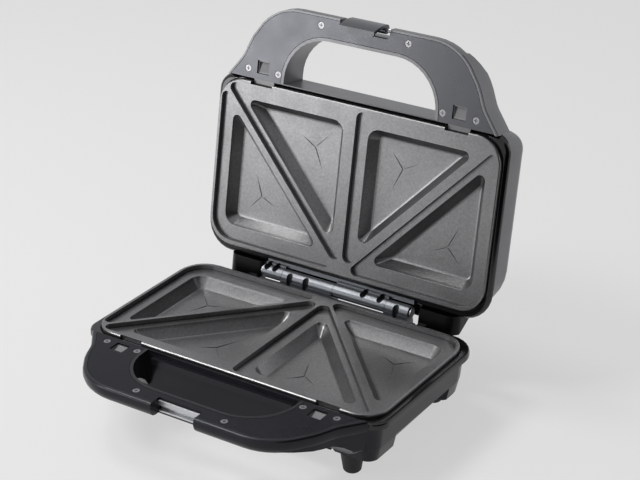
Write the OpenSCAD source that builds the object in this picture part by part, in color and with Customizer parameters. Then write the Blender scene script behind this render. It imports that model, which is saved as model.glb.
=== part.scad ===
// Sandwich toaster with two hinged halves, four triangular pockets and D-shaped carrying handles.
// Each half is drawn on its own mating plane: z = 0 is the top of its plate rim, and the
// housing hangs below it. The base then stands on its feet and the lid is turned over and opened.

/* [Cooking plates] */
// Width of a cooking plate
plate_w = 235; // [225:1:240]
// Depth of a cooking plate
plate_d = 127.5; // [122:0.5:130]
// Radius of the plate's outer corners
plate_r = 20; // [16:1:22]
// Width of the raised rim at the sides
side_rim = 2.5; // [2:0.5:4]
// Width of the raised rim at the front and rear
end_rim = 3.5; // [2.5:0.5:5]
// Width of the cutting ridges between the sandwiches
ridge_w = 2.4; // [2:0.2:4]
// Depth of the sealing land below the rim
land_drop = 3.5; // [2.5:0.5:4.5]
// Depth of a pocket floor below the rim
pocket_drop = 12; // [11:0.5:14]
// Thickness of the casting
casting_t = 2.5; // [2:0.5:3]

/* [Housing] */
// Half width of the black frame round the base plate
base_frame_x = 122.5; // [121.5:0.5:125]
// Half width of the black frame round the lid plate
lid_frame_x = 121; // [120.5:0.5:125]
// Half width of the shells' bodies under the frames
shell_x = 119.5; // [117:0.5:120.5]
// Wall of the moulded shells
wall = 2.5; // [2:0.25:3]
// Height of the base plate's rim above the table
stand_h = 52; // [48:1:56]

/* [Handles] */
// How far the handle reaches in front of the plate's centre
handle_y = 123.2; // [120:0.2:128]
// Thickness of the base handle
base_grip_t = 12; // [11:0.5:14]
// Thickness of the lid handle
lid_grip_t = 14; // [12:0.5:16]
// Front edge of the base's hand hole
base_hole_y = 106.5; // [104:0.5:108]
// Front edge of the lid's hand hole
lid_hole_y = 104.5; // [103:0.5:108]
// Half width of the hand hole
hole_x = 63; // [58:1:64]
// Travel of a plate release
release_travel = 2.2; // [1.8:0.1:2.4]

/* [Hinge and latch] */
// Distance of the hinge axis behind the plate's rear edge
axis_back = 11; // [10.5:0.25:12]
// Height of the hinge axis above the base rim
axis_up = 0.75; // [0.5:0.25:1.5]
// Radius of the hinge barrels
barrel_r = 5; // [4.5:0.25:5]
// Radius of the hinge pin
pin_r = 2; // [1.5:0.25:2]
// Angle between the closed and the open lid
open_angle = 100; // [95:1:102]
// Width of the latch clip
clip_w = 29; // [26:1:30]

/* [Hidden] */
$fn = 48;

gap = 0.3;
plate_x = plate_w / 2;
plate_y = plate_d / 2;
skirt_drop = 8.4;

frame_low = -8;
frame_front = -65.5;
frame_rear = 70;
frame_r = 22;
frame_front_r = 13;
shell_front = -66.8;
shell_rear = 68;
base_shell_r = 24;
lid_shell_r = 32;
shell_front_r = 12;
base_bottom = -38;
lid_top = -40;

cover_top = -1;
cover_low = -3.2;
border = 2.6;
grip_floor = 2.5;

hinge_y = plate_y + axis_back;
bore_r = pin_r + 0.05;
shelf_top = -9.3;
hinge_end = 62.7;
// knuckle edges from left to right: lid, base, lid, base
knuckle_edges = [-63, -45.5, -1, 43.5, hinge_end];
knuckle_gap = 0.3;
leaf_front = 66.3;
leaf_rear = 69.3;
leaf_foot_rear = 79;
hinge_screw_y = 70.2;
base_hinge_screw_x = [-38, -24, 53];
lid_hinge_screw_x = [-59.5, -52.5, 24, 38];

release_x = 81.3;
window = [[76, -80.2], [86.6, -70.4]];
tongue_w = 17.5;
cover_screws = [[94.5, -72.7], [68.3, -72.7], [35.8, -115]];
screw_r = 1.3;
pad_top = -2.3;

notch_x = 17.5;
lid_notch_x = 20.5;
notch_y = -115.2;
slot_top = -6.2;
slot_low = -9.6;
strike_low = -11;
latch_y = -120;
latch_z = -7.5;
latch_pin_r = 1.5;

foot_spots = [[93.3, -51.3], [93.3, 57]];
foot_low = -stand_h;

// the part's origin lies under the middle of its depth with the lid open
grip_swell = 0.9;
rear_reach = hinge_y + sin(open_angle) * (axis_up - lid_top)
  + cos(open_angle) * (shell_front + shell_front_r - 0.5 - hinge_y);
mid_y = (rear_reach - handle_y - grip_swell) / 2;
pad_low = -35.5;
tray_low = -24.5;
shell_screw_spots = [[74, 36], [74, -36]];
gland_spot = [85.5, -17.5];
gland_bore_r = 3.7;

// ---------- outlines and lofts ----------

// points of an arc, both ends included
function arc(c, r, a0, a1, n) =
  [for (i = [0:n]) c + r * [cos(a0 + (a1 - a0) * i / n), sin(a0 + (a1 - a0) * i / n)]];

// a half outline from front to rear, closed by its mirror image
function both_sides(half) =
  concat(half, [for (i = [len(half) - 1:-1:0]) [-half[i].x, half[i].y]]);

// rounded rectangle, drawn in by k; the front corners may have a radius of their own
function round_rect(x, front, rear, r, k, front_r = 0, n = 7) =
  let (f = front_r > 0 ? front_r : r)
  both_sides(concat(
    arc([x - f, front + f], max(f - k, 0.5), -90, 0, n),
    arc([x - r, rear - r], max(r - k, 0.5), 0, 90, n)));

function unit(v) = v / norm(v);
function left_of(u) = [-u.y, u.x];
function turn(a, b) = a.x * b.y - a.y * b.x;
function meet(p, u, q, v) = p + u * turn(q - p, v) / turn(u, v);
function upwards(a, b) = b < a ? b + 360 : b;

// corner i of a polygon whose sides are drawn in by d, rounded with radius r
function soft_corner(pts, d, r, i, n) =
  let (m = len(pts), h = (i + m - 1) % m, j = (i + 1) % m)
  let (u = unit(pts[i] - pts[h]), v = unit(pts[j] - pts[i]))
  let (c = meet(pts[i] + left_of(u) * (d[h] + r), u, pts[i] + left_of(v) * (d[i] + r), v))
  let (a = atan2(-left_of(u).y, -left_of(u).x), b = atan2(-left_of(v).y, -left_of(v).x))
  arc(c, r, a, upwards(a, b), n);

function soft_polygon(pts, d, r, n = 6) =
  [for (i = [0:len(pts) - 1]) each soft_corner(pts, d, r[i], i, n)];

function grown(list, k, least) = [for (v = list) max(v + k, least)];

// solid through rings of equal count, each [points, z], the lowest first
module loft(rings) {
  n = len(rings[0][0]);
  m = len(rings);
  points = [for (ring = rings) for (p = ring[0]) [p.x, p.y, ring[1]]];
  sides = [for (i = [0:m - 2]) for (j = [0:n - 1])
    let (a = i * n + j, b = i * n + (j + 1) % n)
    each [[a, a + n, b + n], [a, b + n, b]]];
  polyhedron(points, concat([[for (j = [0:n - 1]) j]], sides,
    [[for (j = [n - 1:-1:0]) (m - 1) * n + j]]));
}

module slab(points, low, high) {
  translate([0, 0, low]) linear_extrude(high - low) polygon(points);
}

module block(low, high) {
  translate(low) cube(high - low);
}

module drill(spot, r, low, high) {
  translate([spot.x, spot.y, low]) cylinder(r = r, h = high - low);
}

module across(y, z, r, from, to) {
  translate([from, y, z]) rotate([0, 90, 0]) cylinder(r = r, h = to - from);
}

module left_and_right() {
  children();
  mirror([1, 0, 0]) children();
}

// ---------- where the two halves stand ----------

module base_pose() {
  translate([0, -mid_y, stand_h]) children();
}

module lid_pose() {
  translate([0, hinge_y - mid_y, stand_h + axis_up]) rotate([-open_angle, 0, 0])
    translate([0, -hinge_y, axis_up]) mirror([0, 0, 1]) children();
}

// ---------- cooking plate ----------

// The diagonal ridges run from the rear middle to the front corners.
ridge_rear = [5.6, 57];
ridge_front = [109.7, -54.5];
ridge_slope = (ridge_front.y - ridge_rear.y) / (ridge_front.x - ridge_rear.x);
inner_x = plate_x - side_rim;
inner_y = plate_y - end_rim;
function ridge_y(x) = ridge_rear.y + (x - ridge_rear.x) * ridge_slope;
function ridge_x(y) = ridge_rear.x + (y - ridge_rear.y) / ridge_slope;

// outer cell: rear corner, rear tip, front tip; inner cell: front middle, front tip, rear tip
outer_cell = [[inner_x, inner_y], [ridge_x(inner_y), inner_y], [inner_x, ridge_y(inner_x)]];
inner_cell = [[0, -inner_y], [ridge_x(-inner_y), -inner_y], [0, ridge_y(0)]];
outer_sides = [0, ridge_w / 2, 0];
inner_sides = [0, ridge_w / 2, ridge_w / 2];
outer_radii = [plate_r - side_rim, 4, 4];
inner_radii = [5, 4, 5];
// how far a pocket's edge stays inside its cell, side by side
outer_lands = [10.75, ridge_w / 2 + 4.9, 9];
inner_lands = [10.75, ridge_w / 2 + 4.9, ridge_w / 2 + 9.1];
outer_pocket_radii = [10, 4, 4];
inner_pocket_radii = [9, 4, 5];
// wall of a pocket from its floor to the land: [drawn in, depth]
pocket_wall = [[7.4, pocket_drop], [5.6, pocket_drop - 0.5], [1.4, land_drop + 2.6],
  [0.5, land_drop + 0.7], [0, land_drop], [0, land_drop - 0.2]];
mark_arms = [15, 14, 18];
mark_depth = 0.5;

function pocket_rings(pts, d, r, grow) = [for (w = pocket_wall)
  [soft_polygon(pts, grown(d, w[0] - grow, -9), grown(r, grow - w[0], 1)),
   -w[1] - (grow > 0 ? casting_t : 0)]];

module pockets(grow) {
  loft(pocket_rings(outer_cell, outer_lands, outer_pocket_radii, grow));
  loft(pocket_rings(inner_cell, inner_lands, inner_pocket_radii, grow));
}

// three tapering grooves from the middle of a pocket towards its corners
module cutting_mark(centre, corners) {
  translate([centre.x, centre.y, -pocket_drop - mark_depth]) linear_extrude(mark_depth + 1)
    for (i = [0:2])
      let (u = unit(corners[i] - centre), s = left_of(u) * 0.7)
      polygon([u * -1 + s, u * -1 - s, u * mark_arms[i]]);
}

module cooking_plate() {
  skirt = [[0.9, -skirt_drop], [0, -2], [0.35, -0.5], [1, 0]];
  difference() {
    union() {
      difference() {
        loft([for (s = skirt) [round_rect(plate_x, -plate_y, plate_y, plate_r, s[0]), s[1]]]);
        slab(round_rect(plate_x, -plate_y, plate_y, plate_r, 3.4),
          -skirt_drop - 1, -land_drop - casting_t);
      }
      left_and_right() pockets(casting_t);
      // lugs that hook under the frame's rear edge
      left_and_right() block([54, plate_y - 2, -skirt_drop], [66, plate_y + 2, -skirt_drop + 1.6]);
    }
    left_and_right() {
      slab(soft_polygon(outer_cell, outer_sides, outer_radii), -land_drop, 1);
      slab(soft_polygon(inner_cell, inner_sides, inner_radii), -land_drop, 1);
      pockets(0);
      cutting_mark([79.5, 24], [[112, 58], [14, 55], [112, -50]]);
      cutting_mark([37, -23.5], [[2, -60], [104, -58], [4, 50]]);
      block([release_x - tongue_w / 2 - 0.6, -plate_y - 2, -6.5], [release_x + tongue_w / 2 + 0.6, -plate_y + 2.2, 1]);
    }
  }
}

// ---------- frame round the plate ----------

hinge_clear_x = 64.5;

// lips from the outside in: [drawn in, height]
base_lip = [[0, frame_low], [0, -5.2], [0.5, -4], [1.9, -3.3]];
lid_lip = [[0.2, frame_low], [0, -7], [0.6, -5.4], [1.8, -4.2], [3.2, -3.6]];

module frame(x, lip) {
  difference() {
    union() {
      loft([for (s = lip)
        [round_rect(x, frame_front, frame_rear, frame_r, s[0], frame_front_r), s[1]]]);
      slab(round_rect(plate_x + 2.4, -plate_y - 1.6, plate_y + 2.4, plate_r + 2, 0), -10.4, frame_low + 1);
    }
    slab(round_rect(plate_x + 0.6, -plate_y - 0.6, plate_y + 0.6, plate_r, 0), -skirt_drop, 1);
    slab(round_rect(plate_x - 3, -plate_y + 3, plate_y - 3, plate_r - 3, 0), -11, 1);
    left_and_right() {
      block([53.5, plate_y, -skirt_drop - 0.1], [66.5, plate_y + 2.15, -skirt_drop + 1.9]);
      block([release_x - tongue_w / 2 - 0.6, frame_front - 1, -6.2], [release_x + tongue_w / 2 + 0.6, -plate_y + 0.2, 1]);
    }
    block([-hinge_clear_x, leaf_front - 0.1, -20], [hinge_clear_x, frame_rear + 1, 1]);
  }
}

// ---------- shell outline: body and arched handle in one moulding ----------

grip_c = [55, -handle_y + 40];
grip_side_c = grip_c + (40 - 75) * [cos(-40), sin(-40)];
grip_flare_c = grip_side_c + (75 + 30) * [cos(-20), sin(-20)];

// drawn in by k: round stretches keep their centres
function shell_outline(k) = both_sides(concat(
  arc(grip_c, 40 - k, -90, -40, 6),
  arc(grip_side_c, 75 - k, -30, -20, 2),
  arc(grip_flare_c, 30 + k, 153, 140, 2),
  arc([shell_x - 20, -50], 20 - k, -40, 0, 4),
  [[shell_x - k, 0], [20, 0]]));

// hand hole with its front edge at -y, drawn in by k; the body's front wall closes it
function hole_outline(y, k) = both_sides(concat(
  arc([hole_x - 34.5, 34.5 - y], 34.5 - k, -90, 0, 9),
  [[hole_x - k, shell_front]]));

// the grip is thin in front and grows deeper towards the body; swell widens it below its rim
module handle_body(grip_t, root_t, swell, underside) {
  rim = [[5.6 - swell, -grip_t], [2.8 - swell, -grip_t + 0.8], [0.9 - swell, -grip_t + 3],
    [-swell, -grip_t + 6], [0.25 - swell, -2.4], [0.9 - swell, -1.4], [0.9, -0.9]];
  root = [[7.5, -root_t], [3.6, -root_t + 2.2], [1.3, -root_t + 5.5], [0.6, -grip_t], [0.6, -3]];
  intersection() {
    loft([for (s = rim) [shell_outline(s[0]), s[1]]]);
    union() {
      block([-130, -140, -60], [130, frame_front + 0.1, 10]);
      block([-105, -140, -60], [105, frame_front + 5, 10]);
    }
  }
  intersection() {
    loft([for (s = root) [shell_outline(s[0]), s[1]]]);
    rotate([90, 0, 90]) translate([0, 0, -130]) linear_extrude(260)
      polygon(concat([[-60, -2], [-115, -2], [-115, -grip_t + 2]], underside, [[-60, -root_t]]));
    block([-130, -140, -60], [130, frame_front + 0.1, 10]);
  }
}

module grip_cavity(grip_t, hole_y) {
  difference() {
    slab(shell_outline(wall), -grip_t + grip_floor, 0);
    slab(hole_outline(hole_y, -wall), -60, 1);
    block([-130, -68.5, -60], [130, 130, 1]);
    // solid bridge round the notch in the middle of the grip
    block([-lid_notch_x - 4, notch_y - 20, -60], [lid_notch_x + 4, notch_y + 5.5, 1]);
    left_and_right() for (s = cover_screws) drill(s, 3.2, -60, cover_low);
  }
}

// underside of a handle from the grip to the body: [y, z]
base_underside = [[-98, -13.5], [-84, -15], [-77, -18.5], [-72, -22.5], [-68.5, -28]];
lid_underside = [[-98, -24.5], [-66, -27]];

// notch in the front of a handle, with rounded inner corners
module latch_notch(x, y, r) {
  slab(soft_polygon([[-x, -140], [x, -140], [x, y], [-x, y]], [0, 0, 0, 0], [1, 1, r, r]), -60, 2);
}

// the cover's seat: everything above its underside
module cover_seat(hole_y) {
  difference() {
    slab(shell_outline(border - gap), cover_low, 1);
    slab(hole_outline(hole_y, -border + gap), -60, 2);
    block([-130, frame_front - gap + 0.05, -60], [130, 130, 2]);
  }
}

// rings: [drawn in, height, extra draw at the front wall]
module body_ring(profile, r) {
  loft([for (s = profile)
    [round_rect(shell_x, shell_front + s[2], shell_rear, r, s[0], shell_front_r), s[1]]]);
}

// columns: [inner edge at the floor, front, rear]
module corner_posts(profile, columns, k = 0) {
  intersection() {
    body_ring(profile, base_shell_r);
    left_and_right() for (c = columns)
      translate([0, c[2] - k, 0]) rotate([90, 0, 0]) linear_extrude(c[2] - c[1] - 2 * k)
        polygon([[c[0] + k, -12], [c[0] + k, pad_low + 6.5], [c[0] + 1 + k, pad_low + 4],
          [c[0] + 6 + k, pad_low - 3], [140, pad_low - 3], [140, -12]]);
  }
}

module shell_cuts(grip_t, hole_y, frame_x) {
  grip_cavity(grip_t, hole_y);
  cover_seat(hole_y);
  slab(hole_outline(hole_y, 0), -60, 2);
  // seat of the frame and room for the plate releases
  slab(round_rect(frame_x + gap, frame_front - gap, frame_rear + gap, frame_r, 0, frame_front_r), frame_low, 1);
  slab(round_rect(plate_x + 2.7, -plate_y - 1.9, plate_y + 2.7, plate_r + 2, 0), -10.7, 0);
  left_and_right()
    block([release_x - tongue_w / 2 - 0.6, -72, -6.4], [release_x + tongue_w / 2 + 0.6, -60, 1]);
  left_and_right() for (s = cover_screws) drill(s, screw_r + 0.05, -grip_t + 1.4, 1);
}

// shelf behind the body that carries one hinge leaf
module hinge_shelf(screw_x) {
  difference() {
    union() {
      block([-hinge_clear_x + 0.2, 60, -20], [hinge_clear_x - 0.2, leaf_foot_rear, -10.7]);
      block([-hinge_clear_x + 0.2, plate_y + 2.8, -20], [hinge_clear_x - 0.2, leaf_foot_rear, shelf_top]);
    }
    for (x = screw_x) drill([x, hinge_screw_y], 1.45, -17, 0);
  }
}

// walls of the base from the floor up
base_profile = [[18, base_bottom, 0], [4.5, -27, 0], [1.6, -24, 0], [0, frame_low, 0]];
base_cavity = [[18 + wall, base_bottom + wall, 0], [5 + wall, -25.5, 0], [1.6 + wall, -23, 0],
  [wall, frame_low + 0.1, 0]];
post_profile = [[7, pad_low, 0], [4, pad_low + 1.5, 0], [2.2, -26, 0], [0, frame_low, 0]];
post_cavity = [[7 + wall, pad_low + wall, 0], [2.2 + wall, -26, 0], [wall, frame_low + 0.1, 0]];
base_posts = [[84, -90, -36], [84, 35, 90]];

module base_shell() color([0.17, 0.17, 0.18]) base_pose() difference() {
  union() {
    difference() {
      union() {
        body_ring(base_profile, base_shell_r);
        corner_posts(post_profile, base_posts);
        handle_body(base_grip_t, 28, grip_swell, base_underside);
        // front wall below the hand hole
        block([-86, shell_front + 0.05, -31], [86, shell_front + 3, frame_low]);
      }
      body_ring(base_cavity, base_shell_r);
      corner_posts(post_cavity, base_posts, wall);
      shell_cuts(base_grip_t, base_hole_y, base_frame_x);
      // notch that the latch clip swings into, with a seat behind it for the strike
      block([-notch_x, -140, -60], [notch_x, notch_y, 2]);
      block([-notch_x, notch_y - 1, strike_low - 0.1], [notch_x, notch_y + 4, 2]);
      // the middle of the rear edge is cut back for the hinge leaf
      block([-hinge_clear_x, leaf_front - 0.1, shelf_top], [hinge_clear_x, 90, 1]);
    }
    // ledge along the front wall, seen through the hand hole
    block([-58, shell_front - 0.1, -8.6], [58, frame_front - gap, -3.9]);
    block([-58, shell_front - 3.6, -8.6], [58, shell_front + 0.9, -4.9]);
    hinge_shelf(base_hinge_screw_x);
    // stops for the open lid
    left_and_right() block([70, 66.55, -16], [76, frame_rear + gap, frame_low - gap]);
    left_and_right() block([70, frame_rear + gap, -16], [76, hinge_y, -5]);
    // flat seat round the cord bush
    intersection() {
      translate([gland_spot.x, 61.3, gland_spot.y]) rotate([-90, 0, 0]) cylinder(r = 9, h = 6.6);
      block([60, 60, -40], [110, 70, -10.7]);
    }
    // pillars under the heat tray and bosses for the feet
    left_and_right() {
      for (s = shell_screw_spots) drill(s, 5, base_bottom + 0.5, tray_low);
      for (s = foot_spots) drill(s, 10.2, pad_low, pad_low + 2.5);
      for (s = foot_spots) drill(s, 6, pad_low + 0.5, pad_low + 9);
    }
    for (y = [-34, 34]) block([-98, y - 1, base_bottom + 1], [98, y + 1, base_bottom + 6]);
  }
  left_and_right() {
    for (s = foot_spots) {
      drill(s, 3.6, pad_low - 1, pad_low + 6);
      drill(s, 9.2, -60, pad_low);
    }
    for (s = shell_screw_spots) {
      drill(s, 1.6, -60, 0);
      drill(s, 3.6, -60, base_bottom + 6);
    }
    // vents in the underside
    for (i = [0:4]) block([22 + i * 9, -26, -60], [26 + i * 9, 26, base_bottom + 5]);
  }
  translate([gland_spot.x, 80, gland_spot.y]) rotate([90, 0, 0]) cylinder(r = 6.2, h = 30);
}

lid_profile = [[74, lid_top, 0], [34, lid_top + 0.6, 0], [10, lid_top + 2, 1.5],
  [4, lid_top + 4.5, 3], [1.2, -31, 2.7], [0, -26, 1.8], [0, -14, 0], [0, frame_low, 0]];
lid_cavity = [[74, lid_top + wall, 0], [34, lid_top + 0.6 + wall, 0], [11, -35.5, 2],
  [6, -33.6, 3], [1.2 + wall, -30, 2.7], [wall, -26, 1.8], [wall, -14, 0], [wall, frame_low + 0.1, 0]];

// leg behind the hinge line: the open lid leans with it on the base's stops
module lid_leg() {
  side = [[60, -30], [60, -1.2], [82.8, -1.2], [84, -2.4], [84, -9], [68, -30]];
  intersection() {
    translate([67.5, 0, 0]) rotate([90, 0, 90]) linear_extrude(31) polygon(side);
    translate([0, 90, 0]) rotate([90, 0, 0]) linear_extrude(40) polygon(
      soft_polygon([[67.5, -34], [98.2, -34], [98.2, -1.2], [67.5, -1.2]], [0, 0, 0, 0], [1, 1, 9, 2]));
  }
}

module lid_shell() color([0.2, 0.2, 0.21]) lid_pose() difference() {
  union() {
    difference() {
      union() {
        body_ring(lid_profile, lid_shell_r);
        handle_body(lid_grip_t, 27, -0.7, lid_underside);
        left_and_right() lid_leg();
      }
      body_ring(lid_cavity, lid_shell_r);
      shell_cuts(lid_grip_t, lid_hole_y, lid_frame_x);
      // notch in which the latch clip turns
      latch_notch(lid_notch_x, notch_y, 2.5);
      across(latch_y, latch_z, latch_pin_r, -lid_notch_x - 3.5, lid_notch_x + 3.5);
      block([-hinge_clear_x, leaf_front - 0.1, shelf_top], [hinge_clear_x, 90, 1]);
    }
    hinge_shelf(lid_hinge_screw_x);
    // pillars under the heat tray
    left_and_right() for (s = shell_screw_spots) drill(s, 5, lid_top + 1.5, tray_low);
  }
  for (x = [-lamp_x, lamp_x]) drill([x, lamp_y], 3.55, -60, -25);
}

// ---------- covers, releases and their screws ----------

module cover_screw_seats(r) {
  left_and_right() for (s = cover_screws) translate([s.x, s.y, cover_top - 1.4])
    cylinder(r1 = screw_r + 0.1, r2 = r, h = 1.41);
}

module handle_cover(hole_y, notch_half, notch_edge, notch_r) {
  difference() {
    slab(shell_outline(border), cover_low, cover_top);
    slab(hole_outline(hole_y, -border), -60, 2);
    block([-130, frame_front - 0.6, -60], [130, 130, 2]);
    latch_notch(notch_half, notch_edge, notch_r);
    // room below for the release's raised pad
    left_and_right() block([73.9, -83.7, -4], [88.7, -67.6, pad_top + 0.15]);
    left_and_right() {
      block([window[0].x, window[0].y, -60], [window[1].x, window[1].y, 2]);
      for (s = cover_screws) drill(s, screw_r + 0.1, -60, 2);
    }
    cover_screw_seats(2.8);
  }
}

// one moulding: slide whose pad shows in the window, tongue over the plate's edge, two spring arms
module release() {
  low = cover_low - 3;
  high = cover_low - 0.2;
  difference() {
    union() {
      block([release_x - 8, -84, low], [release_x + 8, -66.9, high]);
      block([74.1, -81.2, high - 0.1], [88.5, -68, pad_top]);
      block([release_x - tongue_w / 2, -69, low], [release_x + tongue_w / 2, -plate_y + 1.8, -3.6]);
      for (s = [-1, 1])
        translate([release_x + s * 5, -83, low]) rotate([0, 0, s * 16])
          translate([-0.6, -7, 0]) cube([1.2, 8, high - low]);
    }
    // hollow for the fingertip
    rotate([90, 0, 90]) translate([0, 0, window[0].x + 1]) linear_extrude(window[1].x - window[0].x - 2)
      polygon([[window[0].y + 1.2, pad_top - 1.8], [window[0].y + 0.6, 1], [window[1].y - 0.6, 1],
        [window[1].y - 1, pad_top - 0.2]]);
  }
}

module cover_screw_set() {
  left_and_right() for (s = cover_screws) difference() {
    union() {
      translate([s.x, s.y, cover_top - 1.5]) cylinder(r1 = screw_r, r2 = 2.45, h = 1.3);
      drill(s, screw_r, -8, cover_top - 1.4);
    }
    for (a = [0, 90]) translate([s.x, s.y, cover_top - 0.9]) rotate([0, 0, a])
      translate([-1.4, -0.3, 0]) cube([2.8, 0.6, 2]);
  }
}

// ---------- heating ----------

heater_z = -19;
heater_r = 3.2;
heater_x = 80;
heater_y = 32;
heater_bend = 20;
heater_end_x = 12;

module bend(c, a0, a1, r) {
  translate([c.x, c.y, heater_z]) rotate([0, 0, a0]) rotate_extrude(angle = a1 - a0)
    translate([r, 0]) circle(r = heater_r);
}

module run(p, q) {
  translate([p.x, p.y, heater_z]) rotate([0, 0, atan2(q.y - p.y, q.x - p.x)]) rotate([0, 90, 0])
    cylinder(r = heater_r, h = norm(q - p));
}

module heater() {
  e = heater_end_x + 10;
  left_and_right() {
    run([0, -heater_y], [heater_x - heater_bend, -heater_y]);
    bend([heater_x - heater_bend, -heater_y + heater_bend], -90, 0, heater_bend);
    run([heater_x, -heater_y + heater_bend], [heater_x, heater_y - heater_bend]);
    bend([heater_x - heater_bend, heater_y - heater_bend], 0, 90, heater_bend);
    run([heater_x - heater_bend, heater_y], [e, heater_y]);
    bend([e, heater_y + 10], 180, 270, 10);
    run([heater_end_x, heater_y + 10], [heater_end_x, 53]);
    // connection blade
    block([heater_end_x - 3.1, 52, heater_z - 0.4], [heater_end_x + 3.1, 60, heater_z + 0.4]);
  }
}

module heat_tray() {
  difference() {
    union() {
      slab(round_rect(106, -55, 55, 16, 0), tray_low, -12);
      slab(round_rect(111, -58.8, 58.8, 20, 0), -12.8, -12);
    }
    slab(round_rect(106, -55, 55, 16, 0.8), tray_low + 0.8, 0);
    left_and_right() block([heater_end_x - 4.5, 50, heater_z - 4.5], [heater_end_x + 4.5, 70, -11]);
    left_and_right() for (s = shell_screw_spots) drill(s, 1.7, -30, 0);
  }
}

// ---------- base fittings ----------

// upright insert with a slot for the latch's hook
module strike_plate() color([0.82, 0.83, 0.84]) base_pose() difference() {
  union() {
    block([-notch_x + 0.1, notch_y, strike_low], [notch_x - 0.1, notch_y + 3.9, cover_low - 0.1]);
    block([-notch_x + 0.1, notch_y, -4], [notch_x - 0.1, notch_y + 1.3, -2.4]);
  }
  block([-notch_x - 1, notch_y - 1, slot_low], [notch_x + 1, notch_y + 2.9, slot_top]);
}

module feet() color([0.06, 0.06, 0.065]) base_pose() left_and_right()
  for (s = foot_spots) translate([s.x, s.y, 0]) rotate_extrude() polygon([
    [0, foot_low], [5, foot_low], [6.2, foot_low + 1.3], [8.5, pad_low],
    [3.55, pad_low], [3.2, pad_low + 5.6], [0, pad_low + 5.6]]);

module shell_screws() color([0.7, 0.7, 0.72]) base_pose() left_and_right()
  for (s = shell_screw_spots) {
    drill(s, 3.3, base_bottom + 3.6, base_bottom + 6);
    drill(s, 1.5, base_bottom + 5.9, tray_low + 2.8);
    drill(s, 3, tray_low + 0.8, tray_low + 3.2);
  }

// bush for the supply cord, pressed through the rear wall
module cord_gland() color([0.08, 0.08, 0.085]) base_pose()
  translate([gland_spot.x, 0, gland_spot.y]) rotate([-90, 0, 0]) rotate_extrude() polygon([
    [gland_bore_r + 0.7, 59.3], [6.9, 59.3], [6.9, 61.2], [6.1, 61.2], [6.1, 67.95], [8.2, 68], [7.4, 71.5],
    [5.6, 79], [gland_bore_r, 79], [gland_bore_r, 70], [gland_bore_r + 0.7, 69.5]]);

module thermostat() color([0.75, 0.72, 0.66]) base_pose() {
  drill([0, -8], 12, -31, tray_low);
  drill([0, -8], 7, -33, -30.9);
  for (s = [-1, 1]) block([s * 14 - 3, -11, -29], [s * 14 + 3, -5, -28.2]);
  block([-11.5, -10, -29.4], [11.5, -6, -27.8]);
}

module thermal_fuse() color([0.85, 0.84, 0.8]) base_pose() {
  translate([34, 10, -27.2]) rotate([0, 90, 0]) cylinder(r = 2.2, h = 14);
  block([37, 6.5, -29.8], [44, 13.5, tray_low]);
}

module terminal_block() color([0.9, 0.9, 0.86]) base_pose() difference() {
  block([-18, 38, -34], [18, 48, tray_low]);
  for (x = [-12, 0, 12]) {
    translate([x, 30, -29.5]) rotate([-90, 0, 0]) cylinder(r = 2.2, h = 30);
    drill([x, 43], 1.8, -40, -29);
  }
}

// ---------- hinge ----------

module knuckle(from, to) {
  difference() {
    union() {
      across(hinge_y, axis_up, barrel_r, from, to);
      block([from, leaf_front, shelf_top + 0.3], [to, leaf_foot_rear, -6.2]);
      block([from, leaf_rear - 1, -6.3], [to, hinge_y, axis_up - 1]);
      block([from, hinge_y - 1, -6.3], [to, hinge_y + 3.6, axis_up - 3.4]);
    }
    across(hinge_y, axis_up, bore_r, from - 1, to + 1);
  }
}

module hinge_leaf(first, screw_x) {
  difference() {
    union() {
      for (i = [first, first + 2])
        knuckle(knuckle_edges[i] + knuckle_gap / 2, knuckle_edges[i + 1] - knuckle_gap / 2);
      block([knuckle_edges[0], leaf_front, shelf_top + 0.3], [hinge_end, leaf_rear, -2.6]);
    }
    for (x = screw_x) {
      drill([x, hinge_screw_y], 2.45, -6.2, 12);
      drill([x, hinge_screw_y], 1.5, -12, 0);
    }
  }
}

module hinge_screw_set(screw_x) {
  for (x = screw_x) difference() {
    union() {
      drill([x, hinge_screw_y], 2.2, -6.2, -4.8);
      drill([x, hinge_screw_y], 1.4, -16, -6.1);
    }
    for (a = [0, 90]) translate([x, hinge_screw_y, -5.4]) rotate([0, 0, a])
      translate([-1.3, -0.3, 0]) cube([2.6, 0.6, 2]);
  }
}

module hinge_pin() color([0.7, 0.71, 0.73]) base_pose() {
  across(hinge_y, axis_up, pin_r, knuckle_edges[0] - 0.3, hinge_end + 0.3);
  across(hinge_y, axis_up, 3.4, knuckle_edges[0] - 1.4, knuckle_edges[0] - 0.2);
  across(hinge_y, axis_up, 3.4, hinge_end + 0.2, hinge_end + 1.4);
}

// ---------- latch ----------

module latch_pin() color([0.7, 0.71, 0.73]) lid_pose()
  across(latch_y, latch_z, latch_pin_r - 0.02, -lid_notch_x - 3.2, lid_notch_x + 3.2);

// gently curved tongue with a hook turned in at its end; the hook's corners are rounded
latch_bow = [-84, -6];

module latch_clip() color([0.2, 0.2, 0.21]) lid_pose() difference() {
  union() {
    across(latch_y, latch_z, 3, -clip_w / 2, clip_w / 2);
    latch_strip(concat([[-120.4, -10.4], [-122.4, -9.9], [-123.5, -8.9]],
      arc(latch_bow, 40, 182, 155.8, 7), arc(latch_bow, 37.9, 157, 177, 6)));
    intersection() {
      latch_strip([[-120.5, 10.4], [-115.7, 10.2], [-115.6, 8.9], [-119, 8.3]]);
      slab(soft_polygon([[-clip_w / 2, -140], [clip_w / 2, -140], [clip_w / 2, -115.6],
        [-clip_w / 2, -115.6]], [0, 0, 0, 0], [1, 1, 4, 4]), 7, 12);
    }
  }
  across(latch_y, latch_z, latch_pin_r + 0.04, -30, 30);
}

module latch_strip(side) {
  rotate([90, 0, 90]) translate([0, 0, -clip_w / 2]) linear_extrude(clip_w) polygon(side);
}

// ---------- lid fittings ----------

lamp_x = 10;
lamp_y = -47;

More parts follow.
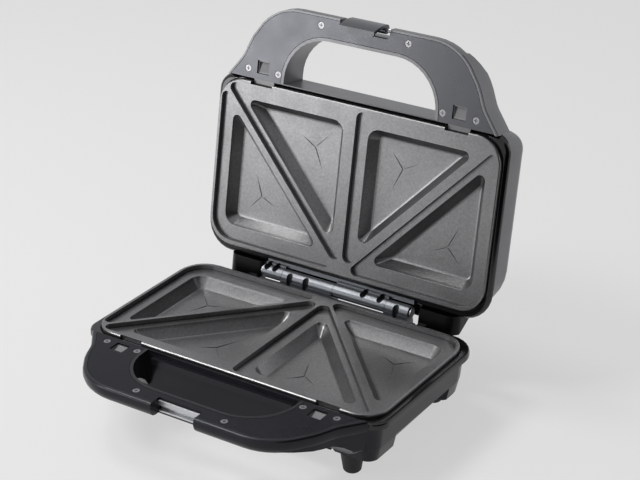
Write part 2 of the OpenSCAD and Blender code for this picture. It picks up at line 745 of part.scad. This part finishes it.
module lamp(x) {
  translate([x, lamp_y, 0]) {
    translate([0, 0, -40.6]) cylinder(r1 = 2.6, r2 = 3.5, h = 1.2);
    translate([0, 0, -39.41]) cylinder(r = 3.5, h = 6.4);
    translate([0, 0, -34]) cylinder(r = 4.6, h = 1.2);
  }
}

// ---------- nodes ----------

module base_frame() color([0.04, 0.04, 0.045]) base_pose() frame(base_frame_x, base_lip);
module base_handle_cover() color([0.22, 0.22, 0.23]) base_pose() handle_cover(base_hole_y, notch_x + 0.1, notch_y + 1.6, 0.6);
module base_cooking_plate() color([0.27, 0.27, 0.28]) base_pose() cooking_plate();
module base_heater() color([0.45, 0.44, 0.42]) base_pose() heater();
module base_heat_tray() color([0.75, 0.76, 0.78]) base_pose() heat_tray();
module base_left_release() color([0.4, 0.4, 0.42]) base_pose() mirror([1, 0, 0]) release();
module base_right_release() color([0.4, 0.4, 0.42]) base_pose() release();
module base_handle_screws() color([0.35, 0.35, 0.36]) base_pose() cover_screw_set();
module base_shell_screws() shell_screws();
module base_hinge_leaf() color([0.62, 0.64, 0.67]) base_pose() hinge_leaf(1, base_hinge_screw_x);
module base_hinge_screws() color([0.2, 0.2, 0.21]) base_pose() hinge_screw_set(base_hinge_screw_x);
module lid_frame() color([0.04, 0.04, 0.045]) lid_pose() frame(lid_frame_x, lid_lip);
module lid_handle_cover() color([0.3, 0.3, 0.31]) lid_pose() handle_cover(lid_hole_y, lid_notch_x, notch_y + gap, 2.5);
module lid_cooking_plate() color([0.5, 0.49, 0.49]) lid_pose() cooking_plate();
module lid_heater() color([0.45, 0.44, 0.42]) lid_pose() heater();
module lid_heat_tray() color([0.75, 0.76, 0.78]) lid_pose() heat_tray();
module lid_left_release() color([0.45, 0.45, 0.47]) lid_pose() mirror([1, 0, 0]) release();
module lid_right_release() color([0.45, 0.45, 0.47]) lid_pose() release();
module lid_handle_screws() color([0.35, 0.35, 0.36]) lid_pose() cover_screw_set();
module lid_hinge_leaf() color([0.62, 0.64, 0.67]) lid_pose() hinge_leaf(0, lid_hinge_screw_x);
module lid_hinge_screws() color([0.2, 0.2, 0.21]) lid_pose() hinge_screw_set(lid_hinge_screw_x);
module power_lamp() color([0.7, 0.1, 0.08]) lid_pose() lamp(-lamp_x);
module ready_lamp() color([0.1, 0.6, 0.2]) lid_pose() lamp(lamp_x);

base_shell();
base_frame();
base_handle_cover();
base_cooking_plate();
base_heater();
base_heat_tray();
base_left_release();
base_right_release();
base_handle_screws();
base_shell_screws();
strike_plate();
feet();
cord_gland();
thermostat();
thermal_fuse();
terminal_block();
base_hinge_leaf();
base_hinge_screws();
hinge_pin();
lid_shell();
lid_frame();
lid_handle_cover();
lid_cooking_plate();
lid_heater();
lid_heat_tray();
lid_left_release();
lid_right_release();
lid_handle_screws();
lid_hinge_leaf();
lid_hinge_screws();
latch_pin();
latch_clip();
power_lamp();
ready_lamp();
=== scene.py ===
import math
import bpy
import bmesh
from mathutils import Matrix, Vector

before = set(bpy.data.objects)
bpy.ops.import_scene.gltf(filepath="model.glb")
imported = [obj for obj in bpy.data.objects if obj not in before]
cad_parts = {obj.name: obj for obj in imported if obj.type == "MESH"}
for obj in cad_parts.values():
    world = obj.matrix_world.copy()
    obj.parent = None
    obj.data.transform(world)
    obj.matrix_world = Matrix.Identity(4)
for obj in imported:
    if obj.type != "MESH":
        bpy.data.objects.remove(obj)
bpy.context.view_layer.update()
print("frame loaded:", len(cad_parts), "nodes")


# short ways to add and join nodes in a tree
class Shader:
    def __init__(self, tree):
        self.tree = tree

    def add(self, kind, **values):
        node = self.tree.nodes.new(kind)
        for key, value in values.items():
            setattr(node, key, value)
        return node

    def put(self, socket, value):
        if isinstance(value, bpy.types.NodeSocket):
            self.tree.links.new(value, socket)
        else:
            socket.default_value = value

    def node(self, kind, inputs, **values):
        made = self.add(kind, **values)
        for key, value in inputs.items():
            self.put(made.inputs[key], value)
        return made

    def group(self, tree, inputs):
        return self.node("ShaderNodeGroup", inputs, node_tree=tree)

    def math(self, operation, a, b=0.0, c=0.0):
        made = self.node("ShaderNodeMath", {0: a, 1: b, 2: c}, operation=operation)
        return made.outputs[0]

    def remap(self, value, low, high, toLow=0.0, toHigh=1.0, smooth=False):
        made = self.node(
            "ShaderNodeMapRange", {0: value, 1: low, 2: high, 3: toLow, 4: toHigh})
        if smooth:
            made.interpolation_type = "SMOOTHSTEP"
        return made.outputs[0]

    def mixColor(self, factor, a, b):
        made = self.add("ShaderNodeMix", data_type="RGBA")
        self.put(made.inputs[0], factor)
        self.put(made.inputs[6], a)
        self.put(made.inputs[7], b)
        return made.outputs[2]

    def noise(self, vector, scale, detail=2.0, roughness=0.5):
        made = self.node("ShaderNodeTexNoise", {
            "Vector": vector, "Scale": scale, "Detail": detail, "Roughness": roughness})
        return made.outputs["Fac"]

    # 1 for the rays that show the background: camera, reflections and glass
    def shownRays(self):
        rays = self.add("ShaderNodeLightPath")
        seen = self.math("MAXIMUM", rays.outputs["Is Camera Ray"], rays.outputs["Is Glossy Ray"])
        return self.math("MAXIMUM", seen, rays.outputs["Is Transmission Ray"])


def newGroup(name, inputs, outputs):
    tree = bpy.data.node_groups.new(name, "ShaderNodeTree")
    for label, kind, value in inputs:
        socket = tree.interface.new_socket(label, in_out="INPUT", socket_type=kind)
        if value is not None:
            socket.default_value = value
    for label, kind in outputs:
        tree.interface.new_socket(label, in_out="OUTPUT", socket_type=kind)
    shader = Shader(tree)
    return tree, shader, shader.add("NodeGroupInput"), shader.add("NodeGroupOutput")


def newMaterial(name):
    material = bpy.data.materials.new(name)
    material.use_nodes = True
    material.node_tree.nodes.clear()
    s = Shader(material.node_tree)
    return material, s, s.add("ShaderNodeTexCoord").outputs["Object"]


def endMaterial(s, shader):
    output = s.add("ShaderNodeOutputMaterial")
    s.tree.links.new(shader.outputs[0], output.inputs["Surface"])


# what the shared effects below are made from
effects = {
    "noiseSpan": (0.3, 0.7),  # where a noise has its darkest and lightest tone
    "dustScale": 420.0, "dustSpan": (0.55, 0.8), "dustFacesUp": (0.2, 0.9),
    # edges made lighter, partly as wear and partly as a painted highlight
    "wearHighlightSpan": (0.985, 0.8), "wearHighlightScale": 240.0, "wearHighlightBreaks": (0.3, 0.55), "wearHighlightLeast": 0.35,
    "seamDeepest": 0.3,
}

# fine texture of a moulded or coated surface, as a height
grainGroup, s, inside, out = newGroup(
    "fineGrain",
    [("Vector", "NodeSocketVector", None), ("Scale", "NodeSocketFloat", 1200.0)],
    [("Height", "NodeSocketFloat")])
cells = s.node("ShaderNodeTexVoronoi", {
    "Vector": inside.outputs["Vector"], "Scale": inside.outputs["Scale"]})
speckle = s.noise(inside.outputs["Vector"], inside.outputs["Scale"], 3.0, 0.6)
s.put(out.inputs["Height"], s.math("MULTIPLY_ADD", cells.outputs["Distance"], 0.5, speckle))

# slow changes of tone over a surface, or a fine speckle at a large scale
toneGroup, s, inside, out = newGroup(
    "slowTone",
    [("Vector", "NodeSocketVector", None), ("Scale", "NodeSocketFloat", 14.0),
     ("Low", "NodeSocketFloat", 0.94), ("High", "NodeSocketFloat", 1.06)],
    [("Value", "NodeSocketFloat")])
cloud = s.noise(inside.outputs["Vector"], inside.outputs["Scale"], 4.0, 0.55)
s.put(out.inputs["Value"], s.remap(
    cloud, *effects["noiseSpan"], inside.outputs["Low"], inside.outputs["High"]))

# a little dust that lies on what faces up
dustGroup, s, inside, out = newGroup(
    "dust",
    [("Vector", "NodeSocketVector", None), ("Amount", "NodeSocketFloat", 0.05)],
    [("Mask", "NodeSocketFloat")])
geometry = s.add("ShaderNodeNewGeometry")
upward = s.node("ShaderNodeSeparateXYZ", {0: geometry.outputs["Normal"]}).outputs["Z"]
specks = s.remap(s.noise(inside.outputs["Vector"], effects["dustScale"], 3.0, 0.7),
                 *effects["dustSpan"])
s.put(out.inputs["Mask"], s.math("MULTIPLY", s.math(
    "MULTIPLY", specks, s.remap(upward, *effects["dustFacesUp"])), inside.outputs["Amount"]))

# lighter colour on edges: partly wear where handling has polished them, partly a painted
# highlight along rims; the rounded normal leaves the true one there
wearAndHighlightGroup, s, inside, out = newGroup(
    "edgeWearAndHighlight",
    [("Vector", "NodeSocketVector", None), ("Radius", "NodeSocketFloat", 0.0006),
     ("Amount", "NodeSocketFloat", 0.2)],
    [("Mask", "NodeSocketFloat")])
rounded = s.node("ShaderNodeBevel", {"Radius": inside.outputs["Radius"]}, samples=4)
geometry = s.add("ShaderNodeNewGeometry")
likeness = s.node("ShaderNodeVectorMath", {
    0: rounded.outputs["Normal"], 1: geometry.outputs["True Normal"]}, operation="DOT_PRODUCT")
edge = s.remap(likeness.outputs["Value"], *effects["wearHighlightSpan"])
broken = s.remap(s.noise(inside.outputs["Vector"], effects["wearHighlightScale"], 3.0),
                 *effects["wearHighlightBreaks"], effects["wearHighlightLeast"], 1.0)
s.put(out.inputs["Mask"], s.math("MULTIPLY", s.math(
    "MULTIPLY", edge, broken), inside.outputs["Amount"]))

# painted shade deep in seams, round screws and in slots: the colour goes nearly black where
# little is open around
paintedSeamShadeGroup, s, inside, out = newGroup(
    "paintedSeamShade",
    [("Reach", "NodeSocketFloat", 0.0012), ("Amount", "NodeSocketFloat", 0.8),
     ("From", "NodeSocketFloat", 0.75)],
    [("Mask", "NodeSocketFloat")])
openness = s.node("ShaderNodeAmbientOcclusion", {"Distance": inside.outputs["Reach"]}, samples=6)
s.put(out.inputs["Mask"], s.math("MULTIPLY", s.remap(
    openness.outputs["AO"], inside.outputs["From"], effects["seamDeepest"]),
    inside.outputs["Amount"]))

# what a finish has where its own entry in looks says nothing else
plainLook = {
    "metal": 0.0, "specular": 0.5, "coat": 0.0, "coatRough": 0.1,
    "roughSpread": 0.03, "roughScale": 60.0,
    "tone": 0.06, "toneScale": 14.0, "speckle": 0.03, "speckleScale": 620.0,
    "grain": 0.15, "grainScale": 1400.0, "grainDepth": 0.0001,
    # wear and painted highlight: lighter colour along rounded edges
    "wearAndHighlight": 0.12, "wearHighlightWidth": 0.0005, "wearHighlightColor": (0.4, 0.4, 0.41),
    "dust": 0.04, "dustColor": (0.5, 0.49, 0.47),
    # painted shade: the four seam entries set how dark seams, grooves and slots are painted
    "seam": 0.85, "seamReach": 0.0012, "seamFrom": 0.75, "seamShadeColor": (0.004, 0.004, 0.004),
    "darkBelow": None, "darkFade": 0.002, "darkShare": 0.06,
}

looks = {
    # darkBelow is a height at rest: the legs and the rear wall under it are black plastic
    "lidShell": dict(color=(0.18, 0.181, 0.188), rough=0.38, metal=0.85, grain=0.25,
                     darkBelow=0.0635),
    # painted shade: the base shell is the same dark satin plastic as the lid shell, painted near
    # black so the inside of its hand hole reads as shaded
    "baseShellPaintedShade": dict(color=(0.018, 0.019, 0.024), rough=0.24, metal=0.3, grain=0.2, dust=0.015,
                      specular=0.32),
    "gloss": dict(color=(0.006, 0.006, 0.007), rough=0.14, grain=0.02, wearAndHighlight=0.03, dust=0.01),
    "lidCover": dict(color=(0.092, 0.094, 0.102), rough=0.3, metal=0.85, grain=0.2, wearAndHighlight=0.05),
    # painted shade: the base cover is the same grey plastic as the lid cover, painted near black
    # where it faces up
    "baseCoverPaintedShade": dict(color=(0.009, 0.0095, 0.014), rough=0.24, grain=0.2, wearAndHighlight=0.03, dust=0.008,
                      specular=0.14),
    # seamFrom here lets the painted seam shade reach into the shallow star grooves
    "coating": dict(color=(0.2, 0.199, 0.203), rough=0.32, metal=0.85, grain=0.4, seamFrom=0.92,
                    grainScale=800.0, tone=0.08, speckle=0.16, wearAndHighlight=0.22,
                    wearHighlightColor=(0.45, 0.45, 0.46)),
    "castMetal": dict(color=(0.15, 0.157, 0.17), rough=0.38, metal=0.9, grain=0.3, wearAndHighlight=0.2,
                      wearHighlightColor=(0.4, 0.41, 0.43)),
    "screw": dict(color=(0.3, 0.3, 0.31), rough=0.32, metal=0.9),
    "darkScrew": dict(color=(0.05, 0.05, 0.053), rough=0.35, metal=0.6),
    "steel": dict(color=(0.58, 0.585, 0.6), rough=0.38, metal=1.0),
    "button": dict(color=(0.2, 0.2, 0.206), rough=0.36, metal=0.5, grain=0.2, seam=0.4),
    "clip": dict(color=(0.1, 0.102, 0.11), rough=0.28, metal=0.7, grain=0.15),
    "rubber": dict(color=(0.012, 0.012, 0.013), rough=0.6, grain=0.4, wearAndHighlight=0.05),
    "tube": dict(color=(0.3, 0.29, 0.27), rough=0.5, metal=0.8),
    "sheet": dict(color=(0.8, 0.81, 0.83), rough=0.3, metal=1.0),
    "ceramic": dict(color=(0.8, 0.78, 0.72), rough=0.4),
    "redLens": dict(color=(0.5, 0.03, 0.02), rough=0.15, coat=0.5),
    "greenLens": dict(color=(0.04, 0.4, 0.08), rough=0.15, coat=0.5),
}


def surface(name, ownLook):
    look = {**plainLook, **ownLook}
    material, s, place = newMaterial(name)
    tone = s.group(toneGroup, {
        "Vector": place, "Scale": look["toneScale"],
        "Low": 1.0 - look["tone"], "High": 1.0 + look["tone"]})
    speckle = s.group(toneGroup, {
        "Vector": place, "Scale": look["speckleScale"],
        "Low": 1.0 - look["speckle"], "High": 1.0 + look["speckle"]})
    shade = s.math("MULTIPLY", tone.outputs["Value"], speckle.outputs["Value"])
    if look["darkBelow"] is not None:
        height = s.node("ShaderNodeSeparateXYZ", {0: place}).outputs["Z"]
        shade = s.math("MULTIPLY", shade, s.remap(
            height, look["darkBelow"], look["darkBelow"] + look["darkFade"],
            look["darkShare"], 1.0))
    tinted = s.node("ShaderNodeVectorMath", {0: look["color"], 3: shade}, operation="SCALE")
    # lighter colour along edges: partly wear, partly a painted highlight along rims
    wearAndHighlight = s.group(wearAndHighlightGroup, {
        "Vector": place, "Radius": look["wearHighlightWidth"], "Amount": look["wearAndHighlight"]})
    wornAndHighlit = s.mixColor(wearAndHighlight.outputs["Mask"], tinted.outputs[0], (*look["wearHighlightColor"], 1.0))
    dust = s.group(dustGroup, {"Vector": place, "Amount": look["dust"]})
    dusty = s.mixColor(dust.outputs["Mask"], wornAndHighlit, (*look["dustColor"], 1.0))
    # painted shade: the colour goes nearly black deep in seams, slots and round screws
    seam = s.group(paintedSeamShadeGroup, {
        "Reach": look["seamReach"], "Amount": look["seam"], "From": look["seamFrom"]})
    color = s.mixColor(seam.outputs["Mask"], dusty, (*look["seamShadeColor"], 1.0))
    grain = s.group(grainGroup, {"Vector": place, "Scale": look["grainScale"]})
    bump = s.node("ShaderNodeBump", {
        "Strength": look["grain"], "Distance": look["grainDepth"],
        "Height": grain.outputs["Height"]})
    rough = s.remap(s.noise(place, look["roughScale"], 3.0), *effects["noiseSpan"],
                    look["rough"] - look["roughSpread"], look["rough"] + look["roughSpread"])
    shine = s.node("ShaderNodeBsdfPrincipled", {
        "Base Color": color, "Roughness": rough, "Metallic": look["metal"],
        "Normal": bump.outputs["Normal"], "Specular IOR Level": look["specular"],
        "Coat Weight": look["coat"], "Coat Roughness": look["coatRough"]})
    endMaterial(s, shine)
    return material


materials = {name: surface(name, look) for name, look in looks.items()}
print("materials made:", len(materials))

# finish of each node, and the width in metres that its edges are rounded to
dress = {
    "lidShell": (["lid_shell"], 0.0005),
    "baseShellPaintedShade": (["base_shell"], 0.0005),
    "gloss": (["base_frame", "lid_frame"], 0.0004),
    "lidCover": (["lid_handle_cover"], 0.0003),
    "baseCoverPaintedShade": (["base_handle_cover"], 0.0003),
    "coating": (["base_cooking_plate", "lid_cooking_plate"], 0.0003),
    "castMetal": (["base_hinge_leaf", "lid_hinge_leaf"], 0.0004),
    "screw": (["base_handle_screws", "lid_handle_screws"], 0.0),
    "darkScrew": (["base_hinge_screws", "lid_hinge_screws"], 0.0),
    "steel": (["strike_plate", "hinge_pin", "latch_pin", "base_shell_screws"], 0.0002),
    "button": (["base_left_release", "base_right_release", "lid_left_release",
                "lid_right_release"], 0.0002),
    "clip": (["latch_clip"], 0.0004),
    "rubber": (["feet", "cord_gland"], 0.0003),
    "tube": (["base_heater", "lid_heater"], 0.0),
    "sheet": (["base_heat_tray", "lid_heat_tray"], 0.0),
    "ceramic": (["thermostat", "thermal_fuse", "terminal_block"], 0.0002),
    "redLens": (["power_lamp"], 0.0),
    "greenLens": (["ready_lamp"], 0.0),
}

# lengths in metres and angles in degrees
edgeWork = {
    "mergeWithin": 0.00001, "flatWithin": 0.6, "roundOver": 33, "roundSteps": 2,
    "smoothUnder": 32,
}


def newModifierGroup(name):
    tree = bpy.data.node_groups.new(name, "GeometryNodeTree")
    tree.interface.new_socket("Geometry", in_out="INPUT", socket_type="NodeSocketGeometry")
    tree.interface.new_socket("Geometry", in_out="OUTPUT", socket_type="NodeSocketGeometry")
    g = Shader(tree)
    return tree, g, g.add("NodeGroupInput"), g.add("NodeGroupOutput")


# joins the loose triangles of a node
def weldGroup():
    tree, g, source, target = newModifierGroup("weld")
    joined = g.node("GeometryNodeMergeByDistance", {
        "Geometry": source.outputs[0], "Distance": edgeWork["mergeWithin"]})
    g.put(target.inputs[0], joined.outputs[0])
    return tree


# smooth faces, but sharp along true corners
def smoothGroup():
    tree, g, source, target = newModifierGroup("smoothByAngle")
    angle = g.add("GeometryNodeInputMeshEdgeAngle")
    flat = g.node("FunctionNodeCompare", {
        "A": angle.outputs["Unsigned Angle"], "B": math.radians(edgeWork["smoothUnder"])},
        data_type="FLOAT", operation="LESS_THAN")
    faces = g.node("GeometryNodeSetShadeSmooth", {
        "Geometry": source.outputs[0], "Shade Smooth": True}, domain="FACE")
    edges = g.node("GeometryNodeSetShadeSmooth", {
        "Geometry": faces.outputs[0], "Shade Smooth": flat.outputs[0]}, domain="EDGE")
    g.put(target.inputs[0], edges.outputs[0])
    return tree


weld, smoother = weldGroup(), smoothGroup()


def dressNode(piece, material, edgeWidth):
    piece.data.materials.clear()
    piece.data.materials.append(material)
    for slot in piece.material_slots:
        slot.material = material
    piece.modifiers.new("weld", "NODES").node_group = weld
    if edgeWidth > 0.0:
        joining = piece.modifiers.new("joinFlatFaces", "DECIMATE")
        joining.decimate_type = "DISSOLVE"
        joining.angle_limit = math.radians(edgeWork["flatWithin"])
        rounding = piece.modifiers.new("roundEdges", "BEVEL")
        rounding.width = edgeWidth
        rounding.segments = edgeWork["roundSteps"]
        rounding.profile = 0.5
        rounding.limit_method = "ANGLE"
        rounding.angle_limit = math.radians(edgeWork["roundOver"])
        rounding.use_clamp_overlap = True
    piece.modifiers.new("smooth", "NODES").node_group = smoother
    weigh = piece.modifiers.new("weigh", "WEIGHTED_NORMAL")
    weigh.keep_sharp = True


for name, (nodes, edgeWidth) in dress.items():
    for node in nodes:
        dressNode(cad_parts[node], materials[name], edgeWidth)
print("nodes dressed")

floorLook = {
    "seen": 0.716,  # its tone for the camera and in reflections
    "bounce": 0.25,  # its tone for all other light
    "shadowShare": 0.45, "lightShare": 0.5, "halfWidth": 6.0, "below": 0.0002,
    "toneScale": 3.0, "toneSpread": 0.005,
}


def placeMesh(name, bm, material):
    mesh = bpy.data.meshes.new(name)
    bm.to_mesh(mesh)
    bm.free()
    made = bpy.data.objects.new(name, mesh)
    bpy.context.scene.collection.objects.link(made)
    made.data.materials.append(material)
    return made


# pale paper: the camera and glossy rays see its full tone, other light finds it darker
def floorPaper():
    material, s, place = newMaterial("floorPaper")
    tone = s.group(toneGroup, {
        "Vector": place, "Scale": floorLook["toneScale"],
        "Low": 1.0 - floorLook["toneSpread"], "High": 1.0 + floorLook["toneSpread"]})
    seen = s.shownRays()
    share = floorLook["shadowShare"]
    litTone = s.math("MULTIPLY", tone.outputs["Value"], s.remap(
        seen, 0.0, 1.0, floorLook["bounce"], floorLook["seen"] * share))
    lit = s.node("ShaderNodeBsdfDiffuse", {"Color": litTone})
    glow = s.node("ShaderNodeEmission", {
        "Color": (1.0, 1.0, 1.0, 1.0),
        "Strength": s.math(
            "MULTIPLY", seen, floorLook["seen"] * (1.0 - share * floorLook["lightShare"]))})
    endMaterial(s, s.node("ShaderNodeAddShader", {0: lit.outputs[0], 1: glow.outputs[0]}))
    return material


bm = bmesh.new()
bmesh.ops.create_grid(bm, x_segments=2, y_segments=2, size=floorLook["halfWidth"])
bmesh.ops.translate(bm, verts=bm.verts, vec=(0, 0, -floorLook["below"]))
floor = placeMesh("floor", bm, floorPaper())

skyLook = {
    "front": 0.33, "back": 0.03, "color": (0.97, 0.98, 1.0, 1.0),
    "towardX": -0.55, "towardY": -0.8, "darkest": -0.7, "lightest": 0.8,
}

world = bpy.data.worlds.new("studio")
bpy.context.scene.world = world
world.use_nodes = True
s = Shader(world.node_tree)
s.tree.nodes.clear()
direction = s.add("ShaderNodeTexCoord").outputs["Generated"]
parts = s.node("ShaderNodeSeparateXYZ", {0: direction})
# brighter from the front left, darker behind
side = s.math("ADD", s.math("MULTIPLY", parts.outputs["X"], skyLook["towardX"]),
              s.math("MULTIPLY", parts.outputs["Y"], skyLook["towardY"]))
level = s.remap(side, skyLook["darkest"], skyLook["lightest"],
                skyLook["back"], skyLook["front"], smooth=True)
seen = s.shownRays()
shown = s.math("ADD", s.math("MULTIPLY", seen, floorLook["seen"]),
               s.math("MULTIPLY", s.math("SUBTRACT", 1.0, seen), level))
sky = s.node("ShaderNodeBackground", {"Color": skyLook["color"], "Strength": shown})
s.tree.links.new(sky.outputs[0], s.add("ShaderNodeOutputWorld").inputs["Surface"])

lights = {
    "keyLight": dict(place=(-0.75, -0.62, 1.2), aim=(0, 0.0, 0.1), width=0.42, height=0.42,
                     watts=8.0, color=(1.0, 0.99, 0.97)),
    "overheadLight": dict(place=(-0.7, 0.05, 1.4), aim=(0, 0.05, 0.15), width=0.45, height=0.45,
                          watts=5.5, color=(1.0, 0.995, 0.98)),
    "frontCard": dict(place=(-0.66, -0.74, 0.2), aim=(-0.05, 0.05, 0.14), width=0.36,
                      height=0.36, watts=2.0, color=(1.0, 1.0, 1.0)),
    "rimLight": dict(place=(1.0, 0.9, 0.5), aim=(0, 0.05, 0.12), width=0.5, height=0.7,
                     watts=1.2, color=(0.97, 0.98, 1.0)),
}


def softbox(name, place, aim, width, height, watts, color):
    data = bpy.data.lights.new(name, "AREA")
    data.shape = "RECTANGLE"
    data.size, data.size_y = width, height
    data.energy = watts
    data.color = color
    lamp = bpy.data.objects.new(name, data)
    lamp.location = place
    lamp.rotation_mode = "QUATERNION"
    lamp.rotation_quaternion = (Vector(aim) - Vector(place)).to_track_quat("-Z", "Y")
    bpy.context.scene.collection.objects.link(lamp)
    lamp.visible_camera = False


for name, lamp in lights.items():
    softbox(name, **lamp)

flag = {"x": 0.5, "fromY": -0.75, "toY": 0.1, "top": 0.75,
        "darkest": 0.008, "lightest": 0.012, "toneScale": 30.0}


def blackPaper():
    material, s, place = newMaterial("blackPaper")
    dark = s.remap(s.noise(place, flag["toneScale"]), *effects["noiseSpan"],
                   flag["darkest"], flag["lightest"])
    endMaterial(s, s.node("ShaderNodeBsdfDiffuse", {"Color": dark}))
    return material


# black card beside the object: only reflections see it
bm = bmesh.new()
bm.faces.new([bm.verts.new((flag["x"], y, z)) for y, z in (
    (flag["fromY"], 0.0), (flag["toY"], 0.0),
    (flag["toY"], flag["top"]), (flag["fromY"], flag["top"]))])
card = placeMesh("sideFlag", bm, blackPaper())
card.visible_camera = False
card.visible_diffuse = False
card.visible_shadow = False

# angles in degrees round plateCentre, lengths in metres, the lens in millimetres
photo = {
    "azimuth": 33.03, "elevation": 25.73, "distance": 1.2807, "lens": 103.185, "sensor": 36.0,
    "aimRight": 0.02883, "aimUp": 0.06491, "plateCentre": (0.0, -0.00668193, 0.052),
    "nearest": 0.05, "farthest": 40.0,
}

az, el = math.radians(photo["azimuth"]), math.radians(photo["elevation"])
back = Vector((math.sin(az) * math.cos(el), -math.cos(az) * math.cos(el), math.sin(el)))
right = Vector((math.cos(az), math.sin(az), 0))
up = back.cross(right)
aim = right * photo["aimRight"] + up * photo["aimUp"] + Vector(photo["plateCentre"])
cameraData = bpy.data.cameras.new("camera")
cameraData.sensor_width = photo["sensor"]
cameraData.lens = photo["lens"]
cameraData.clip_start, cameraData.clip_end = photo["nearest"], photo["farthest"]
camera = bpy.data.objects.new("camera", cameraData)
camera.location = aim + back * photo["distance"]
camera.rotation_mode = "QUATERNION"
camera.rotation_quaternion = Matrix((right, up, back)).transposed().to_quaternion()
bpy.context.scene.collection.objects.link(camera)
bpy.context.scene.camera = camera

view = bpy.context.scene.view_settings
view.view_transform = "Standard"
print("studio ready")
